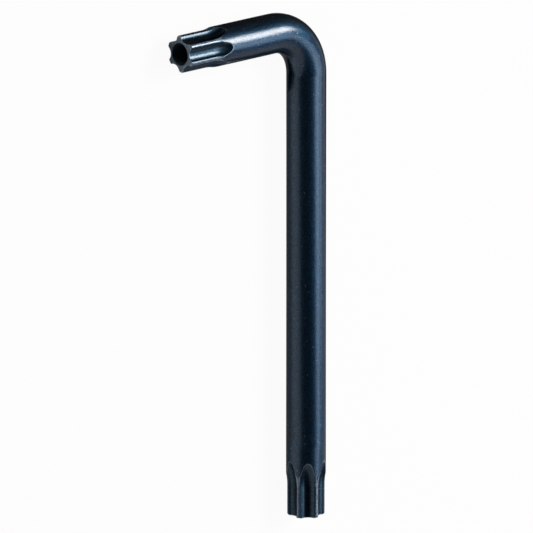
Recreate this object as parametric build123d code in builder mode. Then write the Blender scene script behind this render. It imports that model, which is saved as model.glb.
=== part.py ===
from build123d import *

import os
from math import cos, radians, sin, sqrt

# Star-drive key: a round steel bar bent square, with a six-lobe tip at both ends, drilled for a centre pin.
# It lies flat on its side, as it comes to rest. +Z is up, the long arm runs along Y and the short arm along X,
# and the origin is below the middle of the key's box, on the surface that it lies on. Sizes are millimetres.

# The bar
stock_dia = 7.0
long_reach = 92.0  # outside of the bend to the face of the long tip
short_reach = 33.5  # outside of the bend to the face of the short tip
bend_radius = 8.4  # of the bar's centreline

# The six-lobe tip: a driver of size 40
lobes = 6
star_over = 6.6  # across the lobes
star_root = 4.75  # across the roots of the flutes
lobe_radius = 0.5
crest_land = 0.03  # height turned off the top of each rounded lobe
parallel_length = 5.5  # from the face to where the flutes begin to rise
end_bevel = 0.22  # on the lobes, at the face
edge_break = 0.08  # on the face's outline and the mouth of the pin hole

# The hole for a centre pin
pin_hole_dia = 3.9
pin_hole_depth = 6.5

# How far the flutes of each tip are turned from straight up, and the arc on which they rise out of the bar
short_tip_turn = -5.0
short_run_out = 7.5
long_tip_turn = 22.5
long_run_out = 10.0

# The star: a flute's floor touches the root circle and runs smoothly into the lobes on both sides
lobe_step = 360 / lobes
half_step = radians(lobe_step / 2)
crest = star_over / 2
root = star_root / 2
lobe_peak = crest + crest_land
lobe_centre = lobe_peak - lobe_radius
flute_radius = (lobe_centre**2 + root**2 - 2 * lobe_centre * root * cos(half_step) - lobe_radius**2) / (
    2 * (lobe_radius - root + lobe_centre * cos(half_step))
)
flute_centre = root + flute_radius
tangent_share = flute_radius / (flute_radius + lobe_radius)
tangent_x = flute_centre + (lobe_centre * cos(half_step) - flute_centre) * tangent_share
tangent_y = lobe_centre * sin(half_step) * tangent_share

# The cutters
clear = 1.0  # how far they reach past the bar
run_out_arc = 40  # degrees that a flute's cutter turns, enough to leave the bar

# Where the bar's axis lies
axis_x = short_reach / 2 - stock_dia / 2
axis_y = long_reach / 2 - stock_dia / 2
axis_z = stock_dia / 2

# Each tip's plane lies in its end face, with its Z axis into the bar and its X axis up
short_tip = Plane(origin=(-short_reach / 2, axis_y, axis_z), x_dir=(0, 0, 1), z_dir=(1, 0, 0))
long_tip = Plane(origin=(axis_x, -long_reach / 2, axis_z), x_dir=(0, 0, 1), z_dir=(0, 1, 0))


def half_plane(tip):
    """The plane through a tip's axis: X runs from the end face into the bar, Y is the distance from the axis."""
    return Plane(origin=tip.origin, x_dir=tip.z_dir, z_dir=tip.y_dir)


with BuildPart() as star_key:
    # The bent bar
    with BuildLine(Plane.XY.offset(axis_z)) as centreline:
        FilletPolyline(
            (-short_reach / 2, axis_y),
            (axis_x, axis_y),
            (axis_x, -long_reach / 2),
            radius=bend_radius,
        )
    with BuildSketch(short_tip):
        Circle(stock_dia / 2)
    sweep(path=centreline.line)

    for tip, turn, run_out in (
        (short_tip, short_tip_turn, short_run_out),
        (long_tip, long_tip_turn, long_run_out),
    ):
        tip_axis = Axis(tip.origin, tip.z_dir)

        # The end is turned to the size over the lobes, which rises to the bar on an arc, and bevelled
        crest_run_out = (root + run_out - lobe_peak * cos(half_step)) / cos(half_step)
        rise = clear / 2
        run = sqrt(crest_run_out**2 - (crest_run_out - rise) ** 2)
        with BuildSketch(half_plane(tip)):
            with BuildLine():
                Polyline(
                    (parallel_length, crest),
                    (end_bevel, crest),
                    (-clear, crest - end_bevel - clear),
                    (-clear, crest + clear),
                    (parallel_length + run, crest + clear),
                    (parallel_length + run, crest + rise),
                )
                TangentArc((parallel_length, crest), (parallel_length + run, crest + rise), tangent=(1, 0))
            make_face()
        revolve(axis=tip_axis, mode=Mode.SUBTRACT)

        # The flutes: parallel to the axis from the face, then rising out of the bar on an arc
        peak = Vector(lobe_peak, 0).rotate(Axis.Z, lobe_step / 2)
        outer = Vector(lobe_peak + clear, 0).rotate(Axis.Z, lobe_step / 2)
        for flute in range(lobes):
            facing = Plane(tip * Location((0, 0, parallel_length), (0, 0, turn + flute * lobe_step)))
            with BuildSketch(facing) as gap:
                with BuildLine():
                    floor = ThreePointArc((tangent_x, -tangent_y), (root, 0), (tangent_x, tangent_y))
                    TangentArc(floor @ 1, peak, tangent=floor % 1)
                    TangentArc(floor @ 0, (peak.X, -peak.Y), tangent=(floor % 0) * -1)
                    Polyline(peak, outer, (outer.X, -outer.Y), (peak.X, -peak.Y))
                make_face()
            extrude(amount=-(parallel_length + clear), mode=Mode.SUBTRACT)
            wheel = Axis(facing.from_local_coords((root + run_out, 0, 0)), facing.y_dir)
            revolve(gap.sketch, axis=wheel, revolution_arc=run_out_arc, mode=Mode.SUBTRACT)

        # The pin hole, with a flat floor
        with BuildSketch(tip):
            Circle(pin_hole_dia / 2)
        extrude(amount=pin_hole_depth, mode=Mode.SUBTRACT)

        # The sharp edges of the end face are broken
        end_face = star_key.faces().sort_by(tip_axis)[0]
        chamfer(end_face.edges(), edge_break)

star_key.part.label = "star_key"
os.makedirs("parts", exist_ok=True)
export_step(star_key.part, "parts/star_key.step")
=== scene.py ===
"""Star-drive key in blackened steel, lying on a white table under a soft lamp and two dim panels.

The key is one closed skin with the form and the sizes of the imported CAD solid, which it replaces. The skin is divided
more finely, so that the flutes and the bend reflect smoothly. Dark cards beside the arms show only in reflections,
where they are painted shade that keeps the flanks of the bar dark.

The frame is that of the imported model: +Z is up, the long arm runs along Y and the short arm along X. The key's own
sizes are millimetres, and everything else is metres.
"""

from math import atan2, cos, hypot, pi, radians, sin, sqrt

import bmesh
import bpy
from mathutils import Euler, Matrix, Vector


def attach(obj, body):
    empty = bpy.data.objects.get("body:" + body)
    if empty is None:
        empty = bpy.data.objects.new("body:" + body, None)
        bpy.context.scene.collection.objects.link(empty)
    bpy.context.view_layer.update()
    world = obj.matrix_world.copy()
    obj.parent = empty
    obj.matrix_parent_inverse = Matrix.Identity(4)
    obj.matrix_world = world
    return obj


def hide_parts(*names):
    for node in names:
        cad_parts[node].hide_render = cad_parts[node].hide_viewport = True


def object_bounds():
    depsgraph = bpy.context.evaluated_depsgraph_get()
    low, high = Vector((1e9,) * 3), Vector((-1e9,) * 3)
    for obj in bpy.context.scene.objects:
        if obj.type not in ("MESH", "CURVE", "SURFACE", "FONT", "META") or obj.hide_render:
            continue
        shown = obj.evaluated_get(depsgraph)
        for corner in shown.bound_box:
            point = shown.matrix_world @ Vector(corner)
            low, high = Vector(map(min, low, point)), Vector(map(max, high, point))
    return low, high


MM = 0.001

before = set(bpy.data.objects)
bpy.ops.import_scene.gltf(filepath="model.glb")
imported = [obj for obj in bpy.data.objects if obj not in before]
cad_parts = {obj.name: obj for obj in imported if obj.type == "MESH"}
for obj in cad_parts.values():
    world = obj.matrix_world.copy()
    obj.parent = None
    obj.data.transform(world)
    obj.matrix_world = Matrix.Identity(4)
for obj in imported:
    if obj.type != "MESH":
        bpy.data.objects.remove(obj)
cad_low, cad_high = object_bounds()

scene = bpy.context.scene
scene.view_settings.view_transform = "Standard"

# ---------------------------------------------------------------- camera

CAMERA_PLACE = (-1.32096, 0.52178, 1.41487)
CAMERA_TURN = (-15.0602, -43.1862, -0.0029)  # degrees about X, Y and Z
CAMERA_LENS = 776.14
CAMERA_SENSOR = 36.0

lens = bpy.data.cameras.new("camera")
lens.lens = CAMERA_LENS
lens.sensor_width = CAMERA_SENSOR
lens.clip_start = 0.1
lens.clip_end = 10.0
camera = bpy.data.objects.new("camera", lens)
camera.location = CAMERA_PLACE
camera.rotation_euler = Euler([radians(angle) for angle in CAMERA_TURN], "XYZ")
scene.collection.objects.link(camera)
scene.camera = camera

# ---------------------------------------------------------------- sizes of the key, in millimetres

LOBES = 6
STAR_CREST = 3.3  # from the axis to the top of a lobe
STAR_ROOT = 2.375  # from the axis to the floor of a flute
LOBE_RADIUS = 0.5
LOBE_PEAK = 3.33  # of the whole lobe, before it is turned down to the crest
PARALLEL = 5.5  # from the end face to where the flutes begin to rise
END_BEVEL = 0.22
EDGE_BREAK = 0.08
HOLE_RADIUS = 1.95
HOLE_DEPTH = 6.5
BEND_RADIUS = 8.4

# A tip's flutes: degrees from straight up towards the bend's outside, and the arc on which they rise out of the bar
SHORT_TURN, SHORT_RUN_OUT = 5.0, 7.5
LONG_TURN, LONG_RUN_OUT = 22.5, 10.0

# The bar, from the CAD model's box
BAR = (cad_high.z - cad_low.z) / 2 / MM
AXIS_X = cad_high.x / MM - BAR
AXIS_Y = cad_high.y / MM - BAR
SHORT_LENGTH = AXIS_X - BEND_RADIUS - cad_low.x / MM
BEND_LENGTH = BEND_RADIUS * pi / 2
LONG_LENGTH = AXIS_Y - BEND_RADIUS - cad_low.y / MM

# The star: a flute's hollow floor runs smoothly into the lobes on both sides
HALF = pi / LOBES
LOBE_CENTRE = LOBE_PEAK - LOBE_RADIUS
LOBE_X, LOBE_Y = LOBE_CENTRE * cos(HALF), LOBE_CENTRE * sin(HALF)
FLUTE_RADIUS = (LOBE_CENTRE**2 + STAR_ROOT**2 - 2 * STAR_ROOT * LOBE_X - LOBE_RADIUS**2) / (
    2 * (LOBE_RADIUS - STAR_ROOT + LOBE_X)
)
FLUTE_CENTRE = STAR_ROOT + FLUTE_RADIUS
TANGENT_Y = LOBE_Y * FLUTE_RADIUS / (FLUTE_RADIUS + LOBE_RADIUS)
PEAK_Y = LOBE_PEAK * sin(HALF)

# How finely the skin is divided
STEPS = 22  # from the middle of a flute to the top of a lobe
SPOKES = LOBES * 2 * STEPS  # round the bar
FINE = 0.08  # between rings where the flutes rise, and beside the edges of the hole
PAST_RISE = 4  # such rings past the top of the rise
TIP_DEPTHS = (0.6, 1.2, 2.4, 3.6, 4.8)  # of the rings along the parallel part of a tip
FACE_SHARES = (0.03, 0.3, 0.7, 0.97)  # of the way from the hole to the outline, for the rings on an end face
BEND_RINGS = 40
BLEND = 3.0  # length over which the spokes of a tip spread evenly round the bar
BLEND_RINGS = 8
OUTLINE_POINTS = 2000  # for measuring the outline of half a flute
HALVINGS = 30  # in the search for a point on a flute
MOST_VERTS = 1_000_000  # more than the skin has

# Finish of the skin
SOFTNESS = 0.07  # rounding where a flute meets the bar
WORN_REACH = 0.05  # height over which that edge is rubbed, and twice this where the flutes rise
HOLLOW_REACH = 0.2  # depth at which a flute's own finish is reached
SHARP = 40.0  # degrees: an edge turned by more stays crisp
MERGE = 1e-7

OUTSIDE, FACE, HOLE = 0, 1, 2  # zones, in the order of the key's materials
UP = Vector((0, 0, 1))

# ---------------------------------------------------------------- shape of the key


def flute(y):
    """How far out a flute's surface is, at a distance y from the flute's middle: its hollow floor, then the lobe."""
    if y < TANGENT_Y:
        return FLUTE_CENTRE - sqrt(FLUTE_RADIUS**2 - y * y)
    return LOBE_X + sqrt(LOBE_RADIUS**2 - (y - LOBE_Y) ** 2)


def flute_point(angle, rise, run_out):
    """The distance from the axis to a flute's surface at an angle from its middle, where it has risen for a length."""
    wheel = STAR_ROOT + run_out
    low, high = 0.0, PEAK_Y
    for _ in range(HALVINGS):
        y = (low + high) / 2
        x = wheel - sqrt((wheel - flute(y)) ** 2 - rise * rise)
        if atan2(y, x) < angle:
            low = y
        else:
            high = y
    return hypot(x, y) + max(0.0, angle - atan2(y, x)) * BAR


def star_angles():
    """The angles of one flute's half, evenly spaced along the star's outline."""
    points = [(flute(y), y) for y in (PEAK_Y * i / OUTLINE_POINTS for i in range(OUTLINE_POINTS + 1))]
    length = [0.0]
    for (x0, y0), (x1, y1) in zip(points, points[1:]):
        length.append(length[-1] + hypot(x1 - x0, y1 - y0))
    angles = []
    at = 0
    for step in range(STEPS + 1):
        while length[at] < length[-1] * step / STEPS:
            at += 1
        x, y = points[at]
        angles.append(atan2(y, x))
    angles[0], angles[-1] = 0.0, HALF
    return angles


STAR = star_angles()
EVEN = [HALF * step / STEPS for step in range(STEPS + 1)]
NOWHERE = [0.0] * SPOKES  # a wear or a hollow of nothing at every spoke


def around(half, turn):
    """The angle of every spoke, from the angles of half a flute repeated round the bar."""
    one = half[:-1] + [2 * HALF - angle for angle in half[:0:-1]]
    return [radians(turn) + 2 * HALF * lobe + angle for lobe in range(LOBES) for angle in one]


def repeated(half):
    """A value for every spoke, from the values of half a flute repeated round the bar."""
    return (half[:-1] + half[:0:-1]) * LOBES


# A ring is its depth from the end face, then the angle, radius, wear and hollow at every spoke, then its zone


def hole_rings(angles):
    """A hole's rings, from the middle of its floor to its mouth."""
    rings = []
    for depth, radius in (
        (HOLE_DEPTH, 0.0),
        (HOLE_DEPTH, HOLE_RADIUS / 2),
        (HOLE_DEPTH, HOLE_RADIUS - FINE),
        (HOLE_DEPTH, HOLE_RADIUS),
        (HOLE_DEPTH - FINE, HOLE_RADIUS),
        (HOLE_DEPTH / 2, HOLE_RADIUS),
        (EDGE_BREAK + FINE, HOLE_RADIUS),
        (EDGE_BREAK, HOLE_RADIUS),
        (0.0, HOLE_RADIUS + EDGE_BREAK),
    ):
        worn = 1.0 if depth <= EDGE_BREAK else 0.0
        rings.append((depth, angles, [radius] * SPOKES, [worn] * SPOKES, NOWHERE, HOLE))
    return rings


def tip_rings(turn, run_out):
    """A tip's rings, from the floor of its hole over the end face to the round bar."""
    angles = around(STAR, turn)
    rings = hole_rings(angles)
    crest_run_out = (STAR_ROOT + run_out - LOBE_PEAK * cos(HALF)) / cos(HALF)
    top = sqrt(run_out**2 - (run_out - (BAR - STAR_ROOT)) ** 2)
    depths = [0.0, EDGE_BREAK, END_BEVEL, END_BEVEL + FINE, *TIP_DEPTHS]
    depths += [PARALLEL + FINE * step for step in range(int(top / FINE) + PAST_RISE)]
    for depth in depths:
        rise = max(0.0, depth - PARALLEL)
        crest = BAR if rise > crest_run_out else STAR_CREST + crest_run_out - sqrt(crest_run_out**2 - rise**2)
        crest = min(BAR, crest, STAR_CREST - END_BEVEL + depth)
        reach = WORN_REACH * (1 + min(1.0, rise))
        radii, worn, hollow = [], [], []
        for angle in STAR:
            cut = flute_point(angle, rise, run_out)
            near = max(0.0, 1 - abs(cut - crest) / SOFTNESS)
            radii.append(min(cut, crest) - near * near * SOFTNESS / 4 - max(0.0, EDGE_BREAK - depth))
            rubbed = max(0.0, 1 - abs(cut - crest) / reach)
            worn.append(max(rubbed, 1.0 if depth <= EDGE_BREAK else 0.0))
            hollow.append(min(1.0, max(0.0, (crest - cut) / HOLLOW_REACH)))
        if depth == 0:
            rim = HOLE_RADIUS + EDGE_BREAK
            for share in FACE_SHARES:
                inner = repeated([rim + (radius - rim) * share for radius in radii])
                rings.append((depth, angles, inner, NOWHERE, NOWHERE, FACE))
        zone = OUTSIDE if depth else FACE
        rings.append((depth, angles, repeated(radii), repeated(worn), repeated(hollow), zone))
    return rings


def on_path(length):
    """The middle of the bar and the way to the bend's outside, at a length along the bar from the short tip's face."""
    if length < SHORT_LENGTH:
        return Vector((cad_low.x / MM + length, AXIS_Y, BAR)), Vector((0, 1, 0))
    if length > SHORT_LENGTH + BEND_LENGTH:
        beyond = length - SHORT_LENGTH - BEND_LENGTH
        return Vector((AXIS_X, AXIS_Y - BEND_RADIUS - beyond, BAR)), Vector((1, 0, 0))
    turned = (length - SHORT_LENGTH) / BEND_RADIUS
    out = Vector((sin(turned), cos(turned), 0))
    return Vector((AXIS_X - BEND_RADIUS, AXIS_Y - BEND_RADIUS, BAR)) + out * BEND_RADIUS, out


def all_rings():
    """Every ring from the floor of the short tip's hole to the floor of the long tip's, by length along the bar."""
    total = SHORT_LENGTH + BEND_LENGTH + LONG_LENGTH
    short_tip = tip_rings(SHORT_TURN, SHORT_RUN_OUT)
    long_tip = tip_rings(LONG_TURN, LONG_RUN_OUT)
    begin, end = short_tip[-1][0], total - long_tip[-1][0]
    stops = [begin + BLEND * step / BLEND_RINGS for step in range(1, BLEND_RINGS + 1)]
    stops += [SHORT_LENGTH + BEND_LENGTH * step / BEND_RINGS for step in range(BEND_RINGS + 1)]
    stops += [end - BLEND * step / BLEND_RINGS for step in range(BLEND_RINGS, 0, -1)]
    bar = []
    for length in sorted(stops):
        even = min(1.0, (length - begin) / BLEND, (end - length) / BLEND)
        half = [a + (b - a) * even for a, b in zip(STAR, EVEN)]
        turn = SHORT_TURN + (LONG_TURN - SHORT_TURN) * (length - begin) / (end - begin)
        bar.append((length, around(half, turn), [BAR] * SPOKES, NOWHERE, NOWHERE, OUTSIDE))
    return short_tip + bar + [(total - ring[0], *ring[1:]) for ring in reversed(long_tip)]


def edge_order(one, other):
    """A number that puts edges in the order of their lower end, then of their higher end."""
    return min(one, other) * MOST_VERTS + max(one, other)


def key_mesh():
    """The key's surface as one closed skin: a ring of edges, extruded from each ring's place to the next.

    Its attributes say where the skin is worn, and how deep in a flute it lies.
    """
    bm = bmesh.new()
    spoke = bm.verts.layers.int.new("spoke")
    number = bm.verts.layers.int.new("number")
    face_number = bm.faces.layers.int.new("number")
    wear = bm.verts.layers.float.new("wear")
    flutes = bm.verts.layers.float.new("hollow")
    ring = bmesh.ops.create_circle(bm, segments=SPOKES, radius=1.0)["verts"]
    for index, vert in enumerate(ring):
        vert[spoke] = index
    edges = list(bm.edges)
    zone_before = None
    for count, (length, angles, radii, worn, hollow, zone) in enumerate(all_rings()):
        if zone_before is not None:
            made = bmesh.ops.extrude_edge_only(bm, edges=edges)["geom"]
            ring = [part for part in made if isinstance(part, bmesh.types.BMVert)]
            fresh = set(ring)
            edges = [part for part in made if isinstance(part, bmesh.types.BMEdge) and fresh.issuperset(part.verts)]
            for part in made:
                if isinstance(part, bmesh.types.BMFace):
                    part.material_index = min(zone, zone_before)
                    one, *_, other = sorted(vert[spoke] for vert in part.verts)
                    part[face_number] = count * SPOKES + (other if other - one == 1 else 0)
        middle, side = on_path(length)
        for vert in ring:
            index = vert[spoke]
            vert[number] = count * SPOKES + index
            away = UP * cos(angles[index]) + side * sin(angles[index])
            vert.co = (middle + away * radii[index]) * MM
            vert[wear] = worn[index]
            vert[flutes] = hollow[index]
        zone_before = zone
    bmesh.ops.remove_doubles(bm, verts=bm.verts, dist=MERGE)
    bmesh.ops.recalc_face_normals(bm, faces=bm.faces)
    for face in bm.faces:
        face.smooth = True

    # Extruding leaves edges and faces in an order that changes from run to run, so they are put in order here
    bm.verts.sort(key=lambda vert: vert[number])
    bm.edges.sort(key=lambda edge: edge_order(*(vert[number] for vert in edge.verts)))
    bm.faces.sort(key=lambda face: face[face_number])
    bm.faces.layers.int.remove(face_number)
    for layer in ("number", "spoke"):
        bm.verts.layers.int.remove(bm.verts.layers.int[layer])

    mesh = bpy.data.meshes.new("key")
    bm.to_mesh(mesh)
    bm.free()
    mesh.set_sharp_from_angle(angle=radians(SHARP))
    return mesh


key = bpy.data.objects.new("key", key_mesh())
scene.collection.objects.link(key)
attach(key, "root")
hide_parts("star_key")

# ---------------------------------------------------------------- node helper


def linear(code):
    """An sRGB hex colour as the linear RGBA that the shaders take."""
    channels = [int(code[i : i + 2], 16) / 255 for i in (1, 3, 5)]
    return [c / 12.92 if c <= 0.04045 else ((c + 0.055) / 1.055) ** 2.4 for c in channels] + [1.0]


def add(tree, kind, settings=None, links=None):
    """A new node: settings name its properties or inputs, and links name the sockets that feed its inputs."""
    node = tree.nodes.new(kind)
    for name, value in (settings or {}).items():
        if isinstance(name, int) or name in node.inputs:
            node.inputs[name].default_value = value
        else:
            setattr(node, name, value)
    for name, socket in (links or {}).items():
        tree.links.new(socket, node.inputs[name])
    return node


def new_material(name):
    """An empty node material and its node tree."""
    material = bpy.data.materials.new(name)
    material.use_nodes = True
    material.node_tree.nodes.clear()
    return material, material.node_tree


# ---------------------------------------------------------------- steel of the key

# Grain of the oxide. Its real grit is some hundredths of a millimetre, too fine to show, so it is drawn coarser.
GRIT = 0.18 * MM
GRIT_DEPTH = 0.05 * MM
PATCH = 5.0 * MM  # from one tone of the oxide to the next
SCUFF = 0.55 * MM  # across a scuff

# Hardened steel bar, blackened in a hot salt bath and oiled. To the eye it is a navy satin metal. The oil gives it
# a clearer gloss, the grit makes the sheen sparkle, and the blue drifts to grey in slow patches. The pressed flutes
# are smoother and greyer. Edges that rub in sockets and on the bench are down to pale steel, and small scuffs show
# it elsewhere.
OXIDE = "#223e55"
OXIDE_PATCH = "#233a4f"
FLUTE_OXIDE = "#213542"
OXIDE_EDGE_TINT = "#8c9cb4"  # at grazing angles
BARE_STEEL = "#a9bccf"
FLUTE_SHARE = 0.8  # of the flutes' own colour, in a flute's floor
BARE_SHARE = 0.8  # of pale steel, where it is rubbed most
BAR_ROUGHNESS = 0.41
FLUTE_ROUGHNESS = 0.35
BARE_ROUGHENING = 0.2
OIL = 0.82
OIL_IN_FLUTES = 0.6  # share of the oil on the bar
OIL_ROUGHNESS = 0.13
OIL_BUMP = 0.35
FLUTE_BUMP = 0.2  # share of the bar's bump


def blackened_steel():
    """The finish of the bar and the tips, from the skin's wear and hollow."""
    material, tree = new_material("blackened_steel")
    place = {"Vector": add(tree, "ShaderNodeTexCoord").outputs["Object"]}
    wear = {"Value": add(tree, "ShaderNodeAttribute", {"attribute_name": "wear"}).outputs["Fac"]}
    hollow = {"Value": add(tree, "ShaderNodeAttribute", {"attribute_name": "hollow"}).outputs["Fac"]}
    grit_noise = {"Scale": 1 / GRIT, "Detail": 2.0, "Roughness": 0.6}
    patch_noise = {"Scale": 1 / PATCH, "Detail": 3.0, "Roughness": 0.5}
    scuff_noise = {"Scale": 1 / SCUFF, "Detail": 2.0, "Roughness": 0.7}
    grit = add(tree, "ShaderNodeTexNoise", grit_noise, place).outputs[0]
    patch = add(tree, "ShaderNodeTexNoise", patch_noise, place).outputs[0]
    scuff = add(tree, "ShaderNodeTexNoise", scuff_noise, place).outputs[0]

    # Slow drift of the oxide's blue
    drift = add(tree, "ShaderNodeMapRange", {"From Min": 0.35, "From Max": 0.65}, {"Value": patch})
    tones = {"data_type": "RGBA", "A": linear(OXIDE), "B": linear(OXIDE_PATCH)}
    oxide = add(tree, "ShaderNodeMix", tones, {"Factor": drift.outputs["Result"]})

    # Greyer flutes
    in_flute = add(tree, "ShaderNodeMapRange", {"To Max": FLUTE_SHARE}, hollow)
    oxide = add(
        tree,
        "ShaderNodeMix",
        {"data_type": "RGBA", "B": linear(FLUTE_OXIDE)},
        {"Factor": in_flute.outputs["Result"], "A": oxide.outputs["Result"]},
    )

    # Grit, as specks from half to one and a half times the oxide's tone
    specks = {"From Min": 0.4, "From Max": 0.6, "To Min": 0.5, "To Max": 1.5}
    speckle = add(tree, "ShaderNodeMapRange", specks, {"Value": grit})
    oxide = add(
        tree,
        "ShaderNodeVectorMath",
        {"operation": "SCALE"},
        {0: oxide.outputs["Result"], "Scale": speckle.outputs["Result"]},
    )

    # Pale steel on the rubbed edges, a little broken, and in the deepest scuffs
    broken = {"From Min": 0.35, "From Max": 0.6, "To Min": 0.6, "To Max": 1.0}
    whole = add(tree, "ShaderNodeMapRange", broken, {"Value": scuff})
    rubbed = add(
        tree, "ShaderNodeMath", {"operation": "MULTIPLY"}, {0: wear["Value"], 1: whole.outputs["Result"]}
    )
    scuffs = add(tree, "ShaderNodeMapRange", {"From Min": 0.66, "From Max": 0.74, "To Max": 0.6}, {"Value": scuff})
    through = add(
        tree, "ShaderNodeMath", {"operation": "MAXIMUM"}, {0: rubbed.outputs[0], 1: scuffs.outputs["Result"]}
    )
    bare = add(tree, "ShaderNodeMapRange", {"From Min": 0.2, "To Max": BARE_SHARE}, {"Value": through.outputs[0]})
    colour = add(
        tree,
        "ShaderNodeMix",
        {"data_type": "RGBA", "B": linear(BARE_STEEL)},
        {"Factor": bare.outputs["Result"], "A": oxide.outputs["Vector"]},
    )

    # Oil, uneven over the grit and thinner in the flutes
    spread = {"From Min": 0.35, "From Max": 0.65, "To Min": 0.8 * OIL, "To Max": 1.2 * OIL}
    film = add(tree, "ShaderNodeMapRange", spread, {"Value": grit})
    thinner = add(tree, "ShaderNodeMapRange", {"To Min": 1.0, "To Max": OIL_IN_FLUTES}, hollow)
    oil = add(
        tree, "ShaderNodeMath", {"operation": "MULTIPLY"}, {0: film.outputs["Result"], 1: thinner.outputs["Result"]}
    )

    # Roughness and relief
    smooth = {"To Min": BAR_ROUGHNESS, "To Max": FLUTE_ROUGHNESS}
    satin = add(tree, "ShaderNodeMapRange", smooth, hollow)
    roughness = add(
        tree,
        "ShaderNodeMath",
        {"operation": "MULTIPLY_ADD", 1: BARE_ROUGHENING},
        {0: bare.outputs["Result"], 2: satin.outputs["Result"]},
    )
    even = add(tree, "ShaderNodeMapRange", {"To Min": 1.0, "To Max": FLUTE_BUMP}, hollow)
    relief = {"Height": grit, "Strength": even.outputs["Result"]}
    bump = add(tree, "ShaderNodeBump", {"Distance": GRIT_DEPTH}, relief)
    oil_bump = add(tree, "ShaderNodeBump", {"Distance": GRIT_DEPTH, "Strength": OIL_BUMP}, {"Height": grit})

    shader = add(
        tree,
        "ShaderNodeBsdfPrincipled",
        {"Metallic": 1.0, "Specular Tint": linear(OXIDE_EDGE_TINT), "Coat Roughness": OIL_ROUGHNESS},
        {
            "Base Color": colour.outputs["Result"],
            "Roughness": roughness.outputs[0],
            "Coat Weight": oil.outputs[0],
            "Normal": bump.outputs["Normal"],
            "Coat Normal": oil_bump.outputs["Normal"],
        },
    )
    add(tree, "ShaderNodeOutputMaterial", links={"Surface": shader.outputs["BSDF"]})
    return material


def gritty_steel(name, colour, contrast, bump_strength, metallic, roughness):
    """A plain steel with fine grit: its tone varies by the contrast to both sides."""
    material, tree = new_material(name)
    place = add(tree, "ShaderNodeTexCoord").outputs["Object"]
    noise = {"Scale": 1 / GRIT, "Detail": 2.0, "Roughness": 0.6}
    grit = add(tree, "ShaderNodeTexNoise", noise, {"Vector": place}).outputs[0]
    specks = {"From Min": 0.3, "From Max": 0.7, "To Min": 1 - contrast, "To Max": 1 + contrast}
    speckle = add(tree, "ShaderNodeMapRange", specks, {"Value": grit})
    tone = {"operation": "SCALE", 0: linear(colour)[:3]}
    mottled = add(tree, "ShaderNodeVectorMath", tone, {"Scale": speckle.outputs["Result"]})
    bump = add(tree, "ShaderNodeBump", {"Distance": GRIT_DEPTH, "Strength": bump_strength}, {"Height": grit})
    shader = add(
        tree,
        "ShaderNodeBsdfPrincipled",
        {"Metallic": metallic, "Roughness": roughness},
        {"Base Color": mottled.outputs["Vector"], "Normal": bump.outputs["Normal"]},
    )
    add(tree, "ShaderNodeOutputMaterial", links={"Surface": shader.outputs["BSDF"]})
    return material


# The end faces are cut and ground before the bar is blackened. They look flat, grey and matt beside the bar.
ground_face_steel = gritty_steel(
    "ground_face_steel", "#697783", contrast=0.2, bump_strength=0.3, metallic=1.0, roughness=0.5
)

# The holes are drilled, and their oxide is dull and sooty. It looks near black, with little gloss.
drilled_hole_steel = gritty_steel(
    "drilled_hole_steel", "#46545f", contrast=0.3, bump_strength=0.5, metallic=0.3, roughness=0.6
)

for material in (blackened_steel(), ground_face_steel, drilled_hole_steel):
    key.data.materials.append(material)

# ---------------------------------------------------------------- floor, and dark cards of painted shade

FLOOR_SIZE = 3.0
SEEN_WHITE = 0.95  # share of plain white where the camera sees the floor
MIRRORED_WHITE = 0.15  # the same in reflections and through glass

# The dark cards are painted shade that only reflections see: their height, and where along X they fade in
SHADE_CARD_HEIGHT = 0.02 * MM
SHADE_CARD_CLEAR = -20 * MM  # the place along X where the painted shade card is still clear
SHADE_CARD_BLACK = -6 * MM  # and where it is fully black


def flat_piece(name, low, high, height, material):
    """A level rectangle between two corners, kept out of the object."""
    shape = bmesh.new()
    bmesh.ops.create_grid(shape, x_segments=1, y_segments=1, size=0.5)
    bmesh.ops.scale(shape, vec=(high[0] - low[0], high[1] - low[1], 1.0), verts=shape.verts)
    bmesh.ops.translate(shape, vec=((low[0] + high[0]) / 2, (low[1] + high[1]) / 2, height), verts=shape.verts)
    mesh = bpy.data.meshes.new(name)
    shape.to_mesh(mesh)
    shape.free()
    mesh.materials.append(material)
    piece = bpy.data.objects.new(name, mesh)
    scene.collection.objects.link(piece)
    return piece


# Matt white paint on a board: a plain warm white that holds the key's soft shadow
white_paint, tree = new_material("matt_white_paint")
paint = add(tree, "ShaderNodeBsdfPrincipled", {"Base Color": linear("#e2ded9"), "Roughness": 0.9})
path = add(tree, "ShaderNodeLightPath")
seen = add(tree, "ShaderNodeMath", {"operation": "MULTIPLY", 1: SEEN_WHITE}, {0: path.outputs["Is Camera Ray"]})
mirrored = add(
    tree,
    "ShaderNodeMath",
    {"operation": "MULTIPLY_ADD", 1: MIRRORED_WHITE},
    {0: path.outputs["Is Glossy Ray"], 2: seen.outputs[0]},
)
whitened = add(
    tree,
    "ShaderNodeMath",
    {"operation": "MULTIPLY_ADD", 1: MIRRORED_WHITE, "use_clamp": True},
    {0: path.outputs["Is Transmission Ray"], 2: mirrored.outputs[0]},
)
glow = add(tree, "ShaderNodeEmission", {"Color": linear("#ffffff"), "Strength": 1.0})
board = {0: whitened.outputs[0], 1: paint.outputs["BSDF"], 2: glow.outputs["Emission"]}
mix = add(tree, "ShaderNodeMixShader", links=board)
add(tree, "ShaderNodeOutputMaterial", links={"Surface": mix.outputs[0]})

half = FLOOR_SIZE / 2
flat_piece("floor", (-half, -half), (half, half), 0.0, white_paint)
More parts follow.
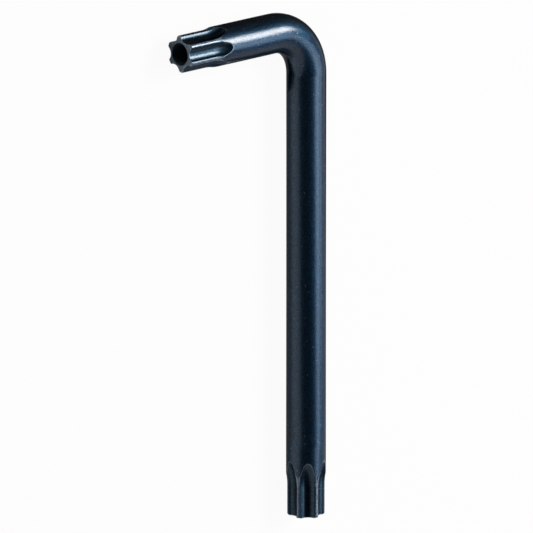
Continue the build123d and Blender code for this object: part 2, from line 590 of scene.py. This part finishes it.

# Dark cards seen only in reflections: painted shade in the bar's reflections, thinning out to nothing towards the short
# tip
shade_card, tree = new_material("painted_shade_card")
place = add(tree, "ShaderNodeTexCoord").outputs["Object"]
along = add(tree, "ShaderNodeSeparateXYZ", links={0: place})
edge = {"From Min": SHADE_CARD_CLEAR, "From Max": SHADE_CARD_BLACK}
shade_share = add(tree, "ShaderNodeMapRange", edge, {"Value": along.outputs["X"]})
dark = add(tree, "ShaderNodeBsdfPrincipled", {"Base Color": linear("#0c0c0c"), "Roughness": 0.9})
clear = add(tree, "ShaderNodeBsdfTransparent")
painted_shade = {0: shade_share.outputs["Result"], 1: clear.outputs["BSDF"], 2: dark.outputs["BSDF"]}
mix = add(tree, "ShaderNodeMixShader", links=painted_shade)
add(tree, "ShaderNodeOutputMaterial", links={"Surface": mix.outputs[0]})

# Each painted shade card's corners, by the places of the arms' axes
arm_x, arm_y = AXIS_X * MM, AXIS_Y * MM
under_arm = arm_y - 0.5 * MM  # where the painted shade cards before and behind the short arm meet
for name, low, high in (
    ("shade_card_behind_short_arm", (SHADE_CARD_CLEAR, under_arm), (0.3, 0.5)),
    ("shade_card_before_short_arm", (-17 * MM, arm_y - 12 * MM), (arm_x - 4 * MM, under_arm)),
    ("shade_card_beside_long_arm", (arm_x - 2.6 * MM, cad_low.y), (arm_x + 80 * MM, under_arm)),
):
    card = flat_piece(name, low, high, SHADE_CARD_HEIGHT, shade_card)
    # Hidden from the camera, from shadows and from diffuse light, so a card is only painted shade in reflections
    card.visible_camera = False
    card.visible_shadow = False
    card.visible_diffuse = False

# ---------------------------------------------------------------- lamps and room


def lamp(name, way, distance, size, radiance, colour, fade=0.0):
    """An area lamp that faces the middle of the key from the given way. size is its width and height.

    fade is the share of its height, from the top, over which its light grows from nothing to its full level. A lamp
    with a fade is also brightest along its middle, at half the full level, and falls to nothing at both sides.
    """
    data = bpy.data.lights.new(name, "AREA")
    data.shape = "RECTANGLE"
    data.size, data.size_y = size
    data.energy = radiance * pi * size[0] * size[1]
    data.color = linear(colour)[:3]
    if fade:
        data.use_nodes = True
        tree = data.node_tree
        tree.nodes.clear()
        spot = add(tree, "ShaderNodeNewGeometry")
        split = add(tree, "ShaderNodeSeparateXYZ", links={0: spot.outputs["Parametric"]})
        top = {"From Min": 1.0, "From Max": 1.0 - fade}
        share = add(tree, "ShaderNodeMapRange", top, {"Value": split.outputs["Y"]})
        ridge = add(tree, "ShaderNodeMath", {"operation": "PINGPONG", 1: 0.5}, {0: split.outputs["X"]})
        both = {0: share.outputs["Result"], 1: ridge.outputs[0]}
        level = add(tree, "ShaderNodeMath", {"operation": "MULTIPLY"}, both)
        glow = add(tree, "ShaderNodeEmission", links={"Strength": level.outputs[0]})
        add(tree, "ShaderNodeOutputLight", links={"Surface": glow.outputs["Emission"]})
    made = bpy.data.objects.new(name, data)
    way = Vector(way).normalized()
    made.location = way * distance
    made.rotation_euler = way.to_track_quat("Z", "Y").to_euler()
    made.visible_camera = False
    scene.collection.objects.link(made)


# The soft lamp lights the table and the top of the short arm. The dim panel is the sheen along the long arm, and the
# side panel lifts its flank.
lamp("soft_lamp", (0.61, 0.365, 0.70), distance=1.0, size=(0.36, 0.4), radiance=20.0, colour="#fff8f0")
lamp("dim_panel", (0.42, -0.07, 0.885), distance=0.6, size=(0.56, 0.36), radiance=9.6, colour="#dcf0ff", fade=0.5)
lamp("side_panel", (0.79, -0.18, 0.58), distance=0.6, size=(0.14, 0.2), radiance=1.9, colour="#e8f2ff")

# The room is dark above. Low down beyond the long tip it is pale, and the flanks of the bar mirror that part.
PALE_WAY = (0.1, -0.65, -1.0)
PALE_BEGINS, PALE_FULL = -0.2, 0.0  # how far along that way the walls lie
DARK_WALL = "#222429"
PALE_WALL = "#c5c2c0"

world = bpy.data.worlds.new("studio")
world.use_nodes = True
tree = world.node_tree
tree.nodes.clear()
where = add(tree, "ShaderNodeTexCoord")
slope = add(
    tree, "ShaderNodeVectorMath", {"operation": "DOT_PRODUCT", 1: PALE_WAY}, {0: where.outputs["Generated"]}
)
step = {"interpolation_type": "SMOOTHSTEP", "From Min": PALE_BEGINS, "From Max": PALE_FULL}
level = add(tree, "ShaderNodeMapRange", step, {"Value": slope.outputs["Value"]})
walls = {"data_type": "RGBA", "A": linear(DARK_WALL), "B": linear(PALE_WALL)}
hue = add(tree, "ShaderNodeMix", walls, {"Factor": level.outputs["Result"]})
sky = add(tree, "ShaderNodeBackground", {"Strength": 1.0}, {"Color": hue.outputs["Result"]})
add(tree, "ShaderNodeOutputWorld", links={"Surface": sky.outputs["Background"]})
scene.world = world
